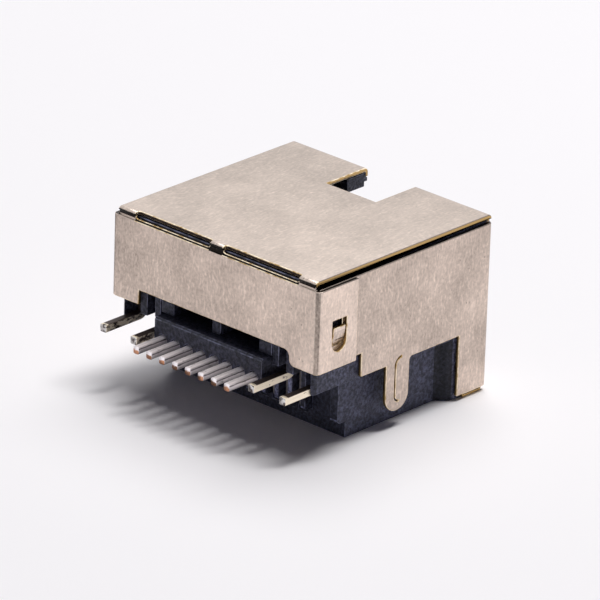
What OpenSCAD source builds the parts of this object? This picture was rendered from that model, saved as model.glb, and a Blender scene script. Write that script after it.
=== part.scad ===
// Shielded modular jack for a circuit board, sunk into a cut-out of the board.
// Measures called "depth" run forward from the outer face of the rear panel.
// Heights run up from the underside of the moulded body.

/* [Overall] */
// Width over the two latching wings of the shield
shield_w = 16.2; // [15.8:0.1:20]
// Depth from the rear panel to the front panel
shield_depth = 15; // [14:0.1:18]
// Height from the underside to the top panel
overall_h = 11; // [10.8:0.1:13.5]
// Height of the circuit board's top face above the underside
board_z = 3.85; // [3.4:0.05:4.6]
// How far the contact tails stand out behind the rear panel
tail_reach = 2.55; // [1.5:0.05:3.2]
// Play between the moulding and the sheet metal
play = 0.05; // [0.02:0.01:0.1]

/* [Shield sheet] */
// Thickness of the sheet
sheet_t = 0.25; // [0.15:0.01:0.3]
// Inner radius of the bends
bend_in = 0.05; // [0.02:0.01:0.2]
// Gap between the wings and the side walls they lie on
wing_gap = 0.02; // [0.01:0.01:0.05]
// How far each side edge of the top panel stops short of the side wall's face
top_inset = 0.12; // [0.05:0.01:0.2]
// Gap between the top panel's underside and the side walls' upper edge
top_gap = 0.25; // [0.1:0.01:0.4]
// Width of the latch notch in the top panel
notch_w = 3.88; // [3.2:0.02:4.2]
// Depth of the back edge of the latch notch
notch_back = 11.39; // [9:0.01:12]
// Height of the short front lip beside the latch notch
lip_h = 0.56; // [0.4:0.01:0.7]

/* [Rear fold] */
// Half the width of the middle bridge across the rear fold
bridge_half = 0.52; // [0.3:0.01:0.9]
// Distance of each slot's outer end from the middle
slot_end = 6.41; // [5:0.01:7]
// How far the fold slots reach into the top panel
slot_top = 0.42; // [0.35:0.01:0.6]
// How far the fold slots reach down the rear panel
slot_rear = 0.4; // [0.3:0.01:0.5]
// Radius of the rounded ends of the fold slots
slot_r = 0.2; // [0.1:0.01:0.25]
// Depth of the coined groove along the fold
groove_depth = 0.12; // [0.05:0.01:0.15]
// Width of the coined groove
groove_w = 0.31; // [0.1:0.01:0.35]
// Distance of the groove's upper side below the top face
groove_drop = 0.18; // [0.1:0.01:0.2]

/* [Rear panel and wings] */
// Height of the rear panel's lower edge above the board
rear_edge_gap = 1.56; // [1:0.01:2]
// Height of the rear cut-out's upper edge above the board
rear_cut_gap = 2.46; // [2:0.01:3]
// Half the width of the rear cut-out
rear_cut_half = 5.92; // [5:0.01:6.6]
// Radius of the rounded corners at one side of the rear cut-out
rear_cut_r = 0.4; // [0.1:0.05:0.6]
// Depth of the wings' front edge
wing_end = 3.29; // [2.9:0.01:3.8]
// Depth of the middle of the latch windows
latch_depth = 1.8; // [1.6:0.01:2]
// Width of the latch windows
latch_w = 1.2; // [1:0.01:1.4]
// Height of the latch windows' lower end above the board
latch_low = 2.6; // [2.2:0.01:3]
// Height of the latch windows
latch_h = 1.98; // [1.8:0.01:2.6]
// Width of the lanced bumps
bump_w = 1; // [0.7:0.01:1.1]
// Height of the lanced bumps
bump_h = 1.2; // [1:0.01:1.6]
// How far the lanced bumps stand out of the side walls
bump_rise = 0.27; // [0.2:0.01:0.3]
// Height of the bumps' lower ends above the windows' lower ends
bump_sill = 0.3; // [0.1:0.01:0.4]
// Height of the cut above each bump
bump_gap = 0.45; // [0.05:0.01:0.5]

/* [Side walls and legs] */
// Depth of the side walls' rear edge
wall_start = 0.35; // [0.3:0.01:0.6]
// Height of the side wall's lower edge behind the wing, above the board
wall_edge_gap = 1.69; // [1.3:0.01:2]
// Depth of the short tab's rear edge
tab_start = 4.05; // [3.6:0.01:4.6]
// Height of the short tab's lower edge above the board
tab_gap = 0.22; // [0.1:0.01:0.5]
// Depth of the board leg's rear edge
leg_start = 6.22; // [5.5:0.01:7]
// Width of the board leg
leg_w = 1.96; // [1.4:0.01:2.2]
// How far the board leg reaches below the board's top face
leg_reach = 2.81; // [1.8:0.01:3]
// Height of the side cut-out's upper edge above the board
side_cut_gap = 0.27; // [0.1:0.01:0.5]
// Depth of the side cut-out's front edge
side_cut_end = 12.44; // [11:0.01:13]
// Radius of the inner corner between the leg and the cut-out
leg_fillet = 0.25; // [0.1:0.01:0.4]
// Width of the hooked slit in the leg
slit_w = 0.1; // [0.06:0.01:0.15]
// Distance of the slit from the leg's rear edge
slit_inset = 0.78; // [0.6:0.01:0.9]
// Radius of the slit's upper hook
slit_hook_top = 0.49; // [0.3:0.01:0.6]
// Radius of the slit's lower hook
slit_hook_low = 0.36; // [0.2:0.01:0.45]
// Height of the slit's upper end above the board
slit_rise = 0.5; // [0.2:0.01:0.8]
// Height of the slit's lower end above the leg's end
slit_low = 0.57; // [0.4:0.01:0.8]

/* [Front panel] */
// Height of the front section's lower edge above the underside
skirt_z = 0.3; // [0.3:0.01:0.5]
// Depth of the rear edge of the flange folded under the front
flange_end = 13.1; // [11:0.01:13.5]
// Distance of the flange's ends from the side walls' outer faces
flange_inset = 0.14; // [0.1:0.01:1.2]
// Margin of the front panel's window round the plug cavity
window_margin = 0.12; // [0.05:0.01:0.3]

/* [Plug cavity] */
// Width of the plug cavity
plug_w = 11.84; // [11.7:0.01:12.2]
// Height of the plug cavity
plug_h = 6.75; // [6.6:0.01:7]
// Height of the plug cavity's floor above the underside
floor_z = 1.45; // [1.3:0.01:1.8]
// Depth of the cavity's back wall
cavity_back = 4.6; // [4.4:0.01:5.5]
// Width of the keyway for the latch's base
key_w = 6.4; // [6.2:0.01:6.8]
// Height of the keyway above the cavity
key_h = 1.65; // [1.3:0.01:1.8]
// Thickness of the shoulders that the latch catches behind
shoulder_t = 1.5; // [0.9:0.01:1.8]
// Depth at which the keyway opens upward
key_open = 9.5; // [8:0.01:11]
// Height of the nibs under the front lip
nib_h = 0.24; // [0.1:0.01:0.3]
// Width of those nibs
nib_w = 0.3; // [0.2:0.01:0.5]

/* [Moulded body] */
// How far the lower body is narrower than the upper body at each side
waist = 0.7; // [0.4:0.01:0.9]
// Depth of the lower body's rear face
low_back = 3.3; // [2.9:0.01:3.6]
// Depth of the face behind the bottom edge's undercut
undercut_back = 3.95; // [3.6:0.01:4.2]
// Height of the undercut
undercut_h = 1; // [0.6:0.01:1.3]
// Radius of the rounded edge over the undercut
undercut_r = 0.25; // [0.1:0.01:0.4]
// Depth where the waist starts to widen
flare_start = 11.2; // [10:0.01:11.6]
// Depth where the waist has widened to the full width
flare_end = 12.5; // [12:0.01:13.2]
// Radius of the upper body's rear corners
body_corner_r = 0.35; // [0.1:0.01:0.45]
// Thickness of the cheeks beside the rear recess
cheek_t = 0.2; // [0.18:0.01:0.4]
// Height of the rear recess's ceiling below the moulding's top
recess_roof = 1.7; // [1.4:0.01:2]
// Half the width of the middle web in the recess
mid_web_half = 0.33; // [0.2:0.01:0.5]
// Width of the outer webs
web_w = 0.98; // [0.6:0.01:1.1]
// Gap between the outer webs and the inner lamp leads
web_slit = 0.08; // [0.05:0.01:0.2]
// Gap between the ribs and the inner lamp leads
rib_slit = 0.6; // [0.3:0.01:0.7]
// Width of the ribs between the lamp leads
rib_w = 0.54; // [0.4:0.01:0.7]
// Height of the ribs' lower ends above the board
rib_gap = 0.9; // [0.7:0.01:1.6]
// Height of the lower ends of the posts behind the inner lamp leads, above the board
post_gap = 1.05; // [0.8:0.01:1.6]
// Width of the rib beyond the outermost contact slot
end_rib_w = 0.37; // [0.2:0.01:0.5]
// Thickness of the lower body's wall beside that rib's pocket
pocket_wall = 0.6; // [0.4:0.01:1]

/* [Contacts] */
// Distance between neighbouring contacts
pitch = 1.02; // [1:0.01:1.1]
// Width of a contact
contact_w = 0.46; // [0.3:0.01:0.5]
// Thickness of a contact
contact_t = 0.42; // [0.3:0.01:0.45]
// Radius of the contacts' bends at the middle of their thickness
contact_bend = 0.46; // [0.3:0.01:0.5]
// Depth of the contacts' upright run
riser_depth = 3.95; // [3.8:0.01:4]
// Height of the contacts' floor run at its middle
run_z = 0.9; // [0.85:0.01:1]
// Depth where the contacts turn back
turn_depth = 12.6; // [11.5:0.01:13]
// Radius of the turn at the middle of the thickness
turn_r = 0.5; // [0.4:0.01:0.6]
// Slope of the spring arms
arm_slope = 24; // [18:1:27]
// Depth of the spring arms' free ends
arm_end = 5.5; // [5:0.01:6.5]
// Width of a contact's shoulder where it leaves the carrier
root_w = 0.62; // [0.5:0.01:0.66]
// Length of that shoulder
root_len = 0.45; // [0.2:0.01:0.8]
// Thickness of that shoulder
root_t = 0.25; // [0.1:0.01:0.3]
// Clearance beside a contact in its slot in the rear face
slot_play = 0.115; // [0.05:0.005:0.15]
// Clearance beside a contact in its groove in the floor
groove_play = 0.07; // [0.04:0.005:0.1]
// How far the comb reaches past the arms' free ends
comb_over = 0.7; // [0.4:0.1:1]
// Height of the comb's lower end above the cavity's floor
comb_rise = 2; // [1:0.1:3]
// Height of the comb
comb_h = 3; // [2:0.1:4]

/* [Contact carrier] */
// Width of the carrier beyond each outermost contact
carrier_edge = 0.42; // [0.3:0.01:0.5]
// How far the carrier stands out behind the rear panel
carrier_reach = 0.39; // [0.2:0.01:0.6]
// Height of the carrier's underside above the board
carrier_gap = 0.1; // [0.05:0.01:0.2]
// Height of the carrier
carrier_h = 1.38; // [1.2:0.01:1.42]
// Depth of the carrier's front face
carrier_front = 3.1; // [2.8:0.01:3.25]
// Bevel along the carrier's upper rear edge
carrier_bevel = 0.12; // [0.05:0.01:0.3]
// Radius of the small arches over the tails
arch_r = 0.36; // [0.33:0.01:0.4]
// Depth of the small arches
arch_depth = 0.2; // [0.1:0.01:0.3]
// Height of the tongue that plugs into the body
tongue_h = 0.6; // [0.4:0.01:0.7]
// Length of the tongue
tongue_len = 0.9; // [0.5:0.01:1.1]
// Height of the tongue's underside above the contacts
tongue_gap = 0.1; // [0.05:0.01:0.2]
// Distance of the tongue's ends from the carrier's ends
tongue_inset = 0.2; // [0.1:0.01:0.5]

/* [Lamps] */
// Thickness and width of a lamp lead
lead_t = 0.46; // [0.35:0.01:0.5]
// Distance between the two leads of a lamp
lead_pitch = 2.42; // [2.3:0.01:2.54]
// Play of a lead in its channel
lead_play = 0.04; // [0.02:0.01:0.06]
// How far the lead tips stand out behind the rear panel
lead_reach = 1.67; // [1:0.01:2.4]
// Depth of the leads' upright run
lead_depth = 1.65; // [1.4:0.01:2]
// How far the leads' undersides stand below the board's top face
lead_drop = 0.02; // [0:0.01:0.05]
// Radius of the leads' bends at the middle of their thickness
lead_bend = 0.45; // [0.35:0.01:0.6]
// Width of a lamp body
lamp_w = 2.9; // [2.85:0.01:3]
// Height of a lamp body
lamp_h = 1.7; // [1.4:0.01:1.8]
// Depth of a lamp body, front to back
lamp_len = 4.2; // [3:0.01:5]
// How far the lamp face stands behind the front panel's outer face
lamp_recess = 0.1; // [0:0.01:0.25]
// Gap between a lamp body's top and the moulding's top
lamp_drop = 0.25; // [0.1:0.01:0.4]
// How far a lead is set into its lamp body
lead_set = 1.2; // [0.6:0.01:2]

/* [Hidden] */
$fn = 64;

contact_count = 8;
// margin by which a cutting shape runs past what it cuts
past = 1;
// segments of the bumps' large circles
fine = 180;
// y of the rear panel's outer face, with the whole part centred on y
rear_y = (shield_depth - tail_reach) / 2;
// planes of the shield
wing_x = shield_w / 2;
bend_r = sheet_t + bend_in;
wall_x = wing_x - sheet_t - wing_gap;
wall_in = wall_x - sheet_t;
top_half = wall_x - top_inset;
top_under = overall_h - sheet_t;
wall_top = top_under - top_gap;
front_in = shield_depth - sheet_t;
rear_edge = board_z + rear_edge_gap;
rear_cut = board_z + rear_cut_gap;
wall_edge = board_z + wall_edge_gap;
tab_edge = board_z + tab_gap;
side_cut = board_z + side_cut_gap;
leg_end = board_z - leg_reach;
leg_stop = leg_start + leg_w;
latch_z = board_z + latch_low;
lip_z = overall_h - lip_h;
flange_half = wall_x - flange_inset;
fold_half = wall_x - bend_r;
notch_half = notch_w / 2;
// planes of the moulding
body_back = sheet_t + play;
body_half = wall_in - play;
low_half = body_half - waist;
body_top = top_under - play;
body_low = board_z + play;
body_front = front_in - play;
recess_half = body_half - cheek_t;
recess_top = body_top - recess_roof;
plug_half = plug_w / 2;
plug_top = floor_z + plug_h;
key_half = key_w / 2;
key_top = plug_top + key_h;
flange_top = sheet_t + play;
shoulder_back = body_front - shoulder_t;
// contacts
tail_z = board_z + contact_t / 2;
contact_end = (contact_count - 1) / 2 * pitch;
slot_half = contact_w / 2 + slot_play;
run_slot_half = contact_w / 2 + groove_play;
run_low = run_z - contact_t / 2 - play;
comb_depth = arm_end + comb_over;
comb_low = floor_z + comb_rise;
comb_top = comb_low + comb_h;
pocket_in = contact_end + slot_half + end_rib_w;
pocket_out = low_half - pocket_wall;
turn_front = turn_depth + turn_r + contact_t / 2 + play;
// carrier
carrier_low = board_z + carrier_gap;
carrier_top = carrier_low + carrier_h;
carrier_half = contact_end + contact_w / 2 + carrier_edge;
tongue_low = board_z + contact_t + tongue_gap;
tongue_half = carrier_half - tongue_inset;
// lamps
lead_z = board_z + lead_t / 2 - lead_drop;
lead_outer = recess_half - lead_play - lead_t / 2;
lead_inner = lead_outer - lead_pitch;
lamp_mid = (lead_outer + lead_inner) / 2;
lamp_top = body_top - lamp_drop;
lamp_low = lamp_top - lamp_h;
lamp_z = (lamp_top + lamp_low) / 2;
lamp_front = shield_depth - lamp_recess;
lamp_back = lamp_front - lamp_len;
channel_half = lead_t / 2 + lead_play;
shaft_back = lead_depth - channel_half;
shaft_front = lead_depth + channel_half;
// webs and ribs beside the lamp leads
web_out = lead_inner - lead_t / 2 - web_slit;
web_in = web_out - web_w;
rib_in = lead_inner + lead_t / 2 + rib_slit;
rib_low = board_z + rib_gap;
post_low = board_z + post_gap;

// a block between two x, two depths and two heights
module block(x0, x1, d0, d1, z0, z1) {
    translate([x0, rear_y - d1, z0])
        cube([x1 - x0, d1 - d0, z1 - z0]);
}

// a flat shape of x and depth, raised between two heights
module plan_shape(z0, z1) {
    translate([0, rear_y, z0])
        linear_extrude(z1 - z0)
            mirror([0, 1]) children();
}

// a flat shape of depth and height, carried between two x
module side_shape(x0, x1) {
    translate([x0, rear_y, 0])
        rotate([90, 0, 90])
            linear_extrude(x1 - x0)
                mirror([1, 0]) children();
}

// a flat shape of x and height, carried between two depths
module front_shape(d0, d1) {
    translate([0, rear_y - d0, 0])
        rotate([90, 0, 0])
            linear_extrude(d1 - d0) children();
}

module rect(u0, u1, v0, v1) {
    translate([u0, v0]) square([u1 - u0, v1 - v0]);
}

// a rectangle whose corners all have one radius
module soft_rect(u0, u1, v0, v1, r) {
    rect(u0 + r, u1 - r, v0, v1);
    rect(u0, u1, v0 + r, v1 - r);
    for (u = [u0 + r, u1 - r])
        for (v = [v0 + r, v1 - r])
            translate([u, v]) circle(r);
}

// what fills the inner corner at a point, towards the quarter given by two signs
module inner_corner(u, v, su, sv, r) {
    translate([u, v])
        difference() {
            rect(min(0, su * r), max(0, su * r), min(0, sv * r), max(0, sv * r));
            translate([su * r, sv * r]) circle(r);
        }
}

// a quarter of a bent sheet round a point, in the quarter given by two signs
module quarter_bend(u, v, su, sv) {
    translate([u, v])
        intersection() {
            difference() {
                circle(bend_r);
                circle(bend_in);
            }
            rect(min(0, su * bend_r), max(0, su * bend_r), min(0, sv * bend_r), max(0, sv * bend_r));
        }
}

// a straight stretch of strip between two points
module strip_bar(p, q, t) {
    reach = norm(q - p);
    translate(p)
        rotate(atan2(q[1] - p[1], q[0] - p[0]))
            translate([0, -t / 2]) square([reach, t]);
}

// a bent stretch of strip round a point, from one angle to another
module strip_arc(c, r, t, a0, a1) {
    steps = 6;
    span = r + t;
    translate(c)
        intersection() {
            difference() {
                circle(r + t / 2);
                circle(r - t / 2);
            }
            polygon(concat([[0, 0]],
                [for (i = [0:steps]) let (a = a0 + (a1 - a0) * i / steps) 2 * span * [cos(a), sin(a)]]));
        }
}

module both_sides() {
    children();
    mirror([1, 0, 0]) children();
}

// the two side walls and the front panel as one bent strip, seen from above
module wall_plan(start) {
    difference() {
        union() {
            rect(-wall_x, wall_x, start, shield_depth - bend_r);
            rect(-wall_x + bend_r, wall_x - bend_r, start, shield_depth);
            for (x = [-wall_x + bend_r, wall_x - bend_r])
                translate([x, shield_depth - bend_r]) circle(bend_r);
        }
        rect(-wall_in, wall_in, start - past, front_in - bend_in);
        rect(-wall_in + bend_in, wall_in - bend_in, start - past, front_in);
        for (x = [-wall_in + bend_in, wall_in - bend_in])
            translate([x, front_in - bend_in]) circle(bend_in);
    }
}

// the rear panel and its wings as one bent strip, seen from above
module wing_plan() {
    rect(-wing_x + bend_r, wing_x - bend_r, 0, sheet_t);
    for (s = [-1, 1]) {
        quarter_bend(s * (wing_x - bend_r), bend_r, s, -1);
        mirror([s < 0 ? 1 : 0, 0])
            rect(wing_x - sheet_t, wing_x, bend_r, wing_end);
    }
}

// tab, leg and the wall over the side cut-out, seen from the side
module leg_outline() {
    rect(tab_start, side_cut_end, side_cut, wall_edge);
    rect(tab_start, leg_stop, tab_edge, side_cut);
    rect(leg_start, leg_stop, leg_end + leg_w / 2, tab_edge);
    translate([leg_start + leg_w / 2, leg_end + leg_w / 2]) circle(leg_w / 2);
    inner_corner(leg_stop, side_cut, 1, -1, leg_fillet);
}

// the hooked slit in the leg, seen from the side
module slit_outline() {
    d = leg_start + slit_inset;
    top = board_z + slit_rise - slit_hook_top;
    low = leg_end + slit_low + slit_hook_low;
    strip_bar([d, low], [d, top], slit_w);
    strip_arc([d + slit_hook_top, top], slit_hook_top, slit_w, 90, 180);
    strip_arc([d + slit_hook_low, low], slit_hook_low, slit_w, 180, 270);
}

// a window or bump outline with a flat top and a round lower end
module latch_outline(w, low, top) {
    rect(latch_depth - w / 2, latch_depth + w / 2, low + w / 2, top);
    translate([latch_depth, low + w / 2]) circle(w / 2);
}

// the bump's sheet, bulged outward towards its sheared upper edge
module bump() {
    low = latch_z + bump_sill;
    top = low + bump_h;
    bulge_r = (bump_h * bump_h + bump_rise * bump_rise) / (2 * bump_rise);
    intersection() {
        side_shape(wall_in - past, wing_x + past)
            latch_outline(bump_w, low, top);
        front_shape(0, wing_end)
            translate([wall_x + bump_rise - bulge_r, top])
                difference() {
                    circle(bulge_r, $fn = fine);
                    circle(bulge_r - sheet_t, $fn = fine);
                }
    }
}

// the top panel with the folds that join it to the front and the rear panel
module top_panel() {
    block(-top_half, top_half, bend_r, shield_depth - bend_r, top_under, overall_h);
    side_shape(-top_half, top_half) {
        quarter_bend(shield_depth - bend_r, overall_h - bend_r, 1, 1);
        quarter_bend(bend_r, overall_h - bend_r, -1, 1);
    }
}

// everything that is cut out of the front panel, seen from the front
module front_openings() {
    edge = window_margin;
    rect(-plug_half - edge, plug_half + edge, floor_z - edge, plug_top + edge);
    rect(-key_half - edge, key_half + edge, plug_top, lip_z);
    for (s = [-1, 1])
        translate([s * lamp_mid, 0])
            rect(-lamp_w / 2 - play, lamp_w / 2 + play, lamp_low - play, lamp_top + play);
}

// the fold slots, seen from above and from behind
module fold_slots() {
    both_sides() {
        plan_shape(overall_h - bend_r, overall_h + past)
            soft_rect(bridge_half, slot_end, -slot_top, slot_top, slot_r);
        front_shape(-past, bend_r)
            soft_rect(bridge_half, slot_end, overall_h - slot_rear, overall_h + slot_rear, slot_r);
    }
}

// the rear cut-out over the tails, rounded at one side as the tool left it
module rear_cut_out() {
    front_shape(-past, sheet_t + play) {
        difference() {
            rect(-rear_cut_half, rear_cut_half, rear_edge - past, rear_cut);
            inner_corner(-rear_cut_half, rear_cut, 1, -1, rear_cut_r);
        }
        inner_corner(-rear_cut_half, rear_edge, -1, 1, rear_cut_r);
    }
}

// Shield: one folded sheet
module shield() {
    color("silver")
    difference() {
        union() {
            plan_shape(wall_edge, wall_top) wall_plan(wall_start);
            plan_shape(skirt_z, wall_edge) wall_plan(side_cut_end);
            plan_shape(rear_edge, wall_top) wing_plan();
            block(-top_half, top_half, 0, sheet_t, wall_top, overall_h - bend_r);
            block(-fold_half, fold_half, front_in, shield_depth, wall_top, overall_h - bend_r);
            top_panel();
            block(-fold_half, fold_half, front_in, shield_depth, bend_r, wall_edge);
            side_shape(-fold_half, fold_half)
                quarter_bend(shield_depth - bend_r, bend_r, 1, -1);
            block(-flange_half, flange_half, flange_end, shield_depth - bend_r, 0, sheet_t);
            both_sides() side_shape(wall_in, wall_x) leg_outline();
        }
        block(-notch_half, notch_half, notch_back, shield_depth + past, lip_z - past, overall_h + past);
        front_shape(front_in - bend_in - play, shield_depth + past) front_openings();
        fold_slots();
        block(-top_half, top_half, -past, groove_depth,
              overall_h - groove_drop - groove_w, overall_h - groove_drop);
        rear_cut_out();
        both_sides() {
            side_shape(wall_x, wing_x + past)
                latch_outline(latch_w, latch_z, latch_z + latch_h);
            side_shape(wall_in - past, wall_x)
                latch_outline(bump_w, latch_z + bump_sill, latch_z + bump_sill + bump_h + bump_gap);
            side_shape(wall_in - past, wall_x + past) slit_outline();
        }
    }
    color("silver") both_sides() bump();
}

// the moulding's lower body with its flared waist, seen from above
module waist_plan() {
    flare_len = flare_end - flare_start;
    flare_r = (flare_len * flare_len + waist * waist) / (4 * waist);
    mid_x = low_half + waist / 2;
    mid_d = flare_start + flare_len / 2;
    rect(-low_half, low_half, low_back, flare_end);
    rect(-body_half, body_half, flare_end, body_front);
    for (s = [0, 1])
        mirror([s, 0]) {
            difference() {
                rect(low_half, mid_x, flare_start, mid_d);
                translate([low_half + flare_r, flare_start]) circle(flare_r);
            }
            intersection() {
                rect(low_half, body_half, mid_d, flare_end);
                translate([body_half - flare_r, flare_end]) circle(flare_r);
            }
        }
}

// the moulding's upper body, seen from above
module body_plan() {
    rect(-body_half, body_half, body_back + body_corner_r, body_front);
    rect(-body_half + body_corner_r, body_half - body_corner_r, body_back, body_front);
    for (x = [-body_half + body_corner_r, body_half - body_corner_r])
        translate([x, body_back + body_corner_r]) circle(body_corner_r);
}

// the webs, ribs and posts that stand in the rear recess
module recess_webs() {
    block(-mid_web_half, mid_web_half, body_back, low_back, carrier_top + play, recess_top);
    both_sides() {
        block(web_in, web_out, body_back, low_back, carrier_top + play, recess_top);
        block(rib_in, rib_in + rib_w, body_back, low_back, rib_low, recess_top);
        block(lead_inner - lead_t / 2, lead_inner + lead_t / 2, body_back, shaft_back, post_low, recess_top);
    }
}

// the space for the plug and its latch, seen from the front
module plug_space() {
    block(-plug_half, plug_half, cavity_back, body_front + past, floor_z, plug_top);
    block(-key_half, key_half, cavity_back, body_front + past, plug_top - play, key_top);
    block(-key_half, key_half, key_open, shoulder_back, key_top - play, body_top + past);
    block(-notch_half, notch_half, shoulder_back - play, body_front + past, key_top - play, body_top + past);
}

// grooves, slots and tunnels for one contact
module contact_space(x) {
    block(x - slot_half, x + slot_half, low_back - past, riser_depth + contact_t / 2 + play,
          run_low, board_z + contact_t + play);
    block(x - run_slot_half, x + run_slot_half, riser_depth, turn_front,
          run_low, run_z + contact_t / 2 + play);
    block(x - run_slot_half, x + run_slot_half, cavity_back, turn_front, run_low, floor_z + play);
    block(x - run_slot_half, x + run_slot_half, riser_depth, riser_depth + contact_bend,
          run_z, run_z + contact_bend);
}

// the comb that guides the free ends of the spring arms
module comb() {
    for (i = [0:contact_count])
        translate([(i - contact_count / 2) * pitch, 0, 0])
            block(-(pitch / 2 - run_slot_half), pitch / 2 - run_slot_half,
                  cavity_back - play, comb_depth, comb_low, comb_top);
}

// the pocket for a lamp and the channels for its leads
module lamp_space() {
    block(lamp_mid - lamp_w / 2 - play, lamp_mid + lamp_w / 2 + play,
          lamp_back - play, body_front + past, lamp_low - play, body_top + past);
    for (x = [lead_inner, lead_outer]) {
        block(x - channel_half, x + channel_half, shaft_back, lamp_back,
              lamp_z - channel_half, body_top + past);
        block(x - channel_half, x + channel_half, shaft_back, shaft_front,
              recess_top - past, body_top + past);
        block(x - channel_half, x + channel_half, lead_depth, lead_depth + lead_bend,
              lamp_z - lead_bend, lamp_z);
    }
}

// Moulded body that takes the plug
module housing() {
    color("#262830")
    difference() {
        union() {
            difference() {
                union() {
                    plan_shape(0, body_low) waist_plan();
                    plan_shape(body_low, body_top) body_plan();
                }
                block(-recess_half, recess_half, -past, low_back, 0, recess_top);
                side_shape(-wing_x, wing_x) {
                    rect(-past, undercut_back, -past, undercut_h);
                    inner_corner(low_back, undercut_h, 1, 1, undercut_r);
                }
                plug_space();
            }
            recess_webs();
            comb();
        }
        for (i = [0:contact_count - 1])
            contact_space((i - (contact_count - 1) / 2) * pitch);
        both_sides() {
            lamp_space();
            block(pocket_in, pocket_out, low_back - past, undercut_back, -past, board_z);
        }
        block(-body_half, body_half, flange_end - play, body_front + past, -past, flange_top);
        block(-tongue_half - play, tongue_half + play, low_back - past, carrier_front + tongue_len + play,
              tongue_low - play, tongue_low + tongue_h + play);
    }
    color("#262830")
    both_sides()
        block(notch_half, notch_half + nib_w, body_front - play, shield_depth - play,
              lip_z - play - nib_h, lip_z - play);
}

// Carrier moulded round the contacts
module contact_carrier() {
    rear = -carrier_reach;
    color("#30323c")
    difference() {
        union() {
            side_shape(-carrier_half, carrier_half)
                polygon([
                    [rear, carrier_low],
                    [carrier_front, carrier_low],
                    [carrier_front, carrier_top],
                    [rear + carrier_bevel, carrier_top],
                    [rear, carrier_top - carrier_bevel]
                ]);
            block(-tongue_half, tongue_half, carrier_front - play, carrier_front + tongue_len,
                  tongue_low, tongue_low + tongue_h);
        }
        for (i = [0:contact_count - 1])
            translate([(i - (contact_count - 1) / 2) * pitch, 0, 0]) {
                block(-contact_w / 2, contact_w / 2, rear - past, carrier_front + past,
                      board_z - past, board_z + contact_t);
                front_shape(rear - past, rear + arch_depth)
                    translate([0, tail_z]) circle(arch_r);
            }
    }
}

// the bent strip of a contact, seen from the side
module contact_outline() {
    turn_z = run_z + turn_r;
    turn_stop = 90 - arm_slope;
    arm_from = [turn_depth, turn_z] + turn_r * [cos(turn_stop), sin(turn_stop)];
    arm_to = [arm_end, arm_from[1] + (arm_from[0] - arm_end) * tan(arm_slope)];
    b = contact_bend;
    strip_bar([-tail_reach, tail_z], [riser_depth - b, tail_z], contact_t);
    strip_arc([riser_depth - b, tail_z - b], b, contact_t, 0, 90);
    strip_bar([riser_depth, tail_z - b], [riser_depth, run_z + b], contact_t);
    strip_arc([riser_depth + b, run_z + b], b, contact_t, 180, 270);
    strip_bar([riser_depth + b, run_z], [turn_depth, run_z], contact_t);
    strip_arc([turn_depth, turn_z], turn_r, contact_t, -90, turn_stop);
    strip_bar(arm_from, arm_to, contact_t);
}

// Contact: one formed strip from the solder tail to the spring arm
module contact(number) {
    x = (number - (contact_count + 1) / 2) * pitch;
    color("#d8d2c4") {
        side_shape(x - contact_w / 2, x + contact_w / 2) contact_outline();
        block(x - root_w / 2, x + root_w / 2, -carrier_reach - root_len, -carrier_reach,
              board_z, board_z + root_t);
    }
}

// the bent lead of a lamp, seen from the side
module lead_outline() {
    b = lead_bend;
    strip_bar([-lead_reach, lead_z], [lead_depth - b, lead_z], lead_t);
    strip_arc([lead_depth - b, lead_z + b], b, lead_t, -90, 0);
    strip_bar([lead_depth, lead_z + b], [lead_depth, lamp_z - b], lead_t);
    strip_arc([lead_depth + b, lamp_z - b], b, lead_t, 90, 180);
    strip_bar([lead_depth + b, lamp_z], [lamp_back + lead_set, lamp_z], lead_t);
}

// Lamp lead at a distance from the middle
module lead(x) {
    color("#e0cfa0")
    side_shape(x - lead_t / 2, x + lead_t / 2) lead_outline();
}

// Lamp body, moulded round its two leads, at one side
module lamp(side, tint) {
    mid = side * lamp_mid;
    color(tint)
    difference() {
        block(mid - lamp_w / 2, mid + lamp_w / 2, lamp_back, lamp_front, lamp_low, lamp_top);
        for (x = [side * lead_inner, side * lead_outer])
            block(x - lead_t / 2, x + lead_t / 2, lamp_back - past, lamp_back + lead_set,
                  lamp_z - lead_t / 2, lamp_z + lead_t / 2);
    }
}

shield();
housing();
contact_carrier();
contact(1);  // contact_1
contact(2);  // contact_2
contact(3);  // contact_3
contact(4);  // contact_4
contact(5);  // contact_5
contact(6);  // contact_6
contact(7);  // contact_7
contact(8);  // contact_8
lamp(-1, "#d6e8c8");  // led_left
lamp(1, "#f0dfb0");  // led_right
lead(-lead_inner);  // led_left_lead_inner
lead(-lead_outer);  // led_left_lead_outer
lead(lead_inner);  // led_right_lead_inner
lead(lead_outer);  // led_right_lead_outer
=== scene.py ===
"""Shielded ethernet jack that sinks into a circuit board: its pieces, its finishes and the stage."""

import math

import bmesh
import bpy
from bpy.props import FloatProperty, FloatVectorProperty, IntProperty, PointerProperty
from mathutils import Matrix, Vector
from mathutils.bvhtree import BVHTree


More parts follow.
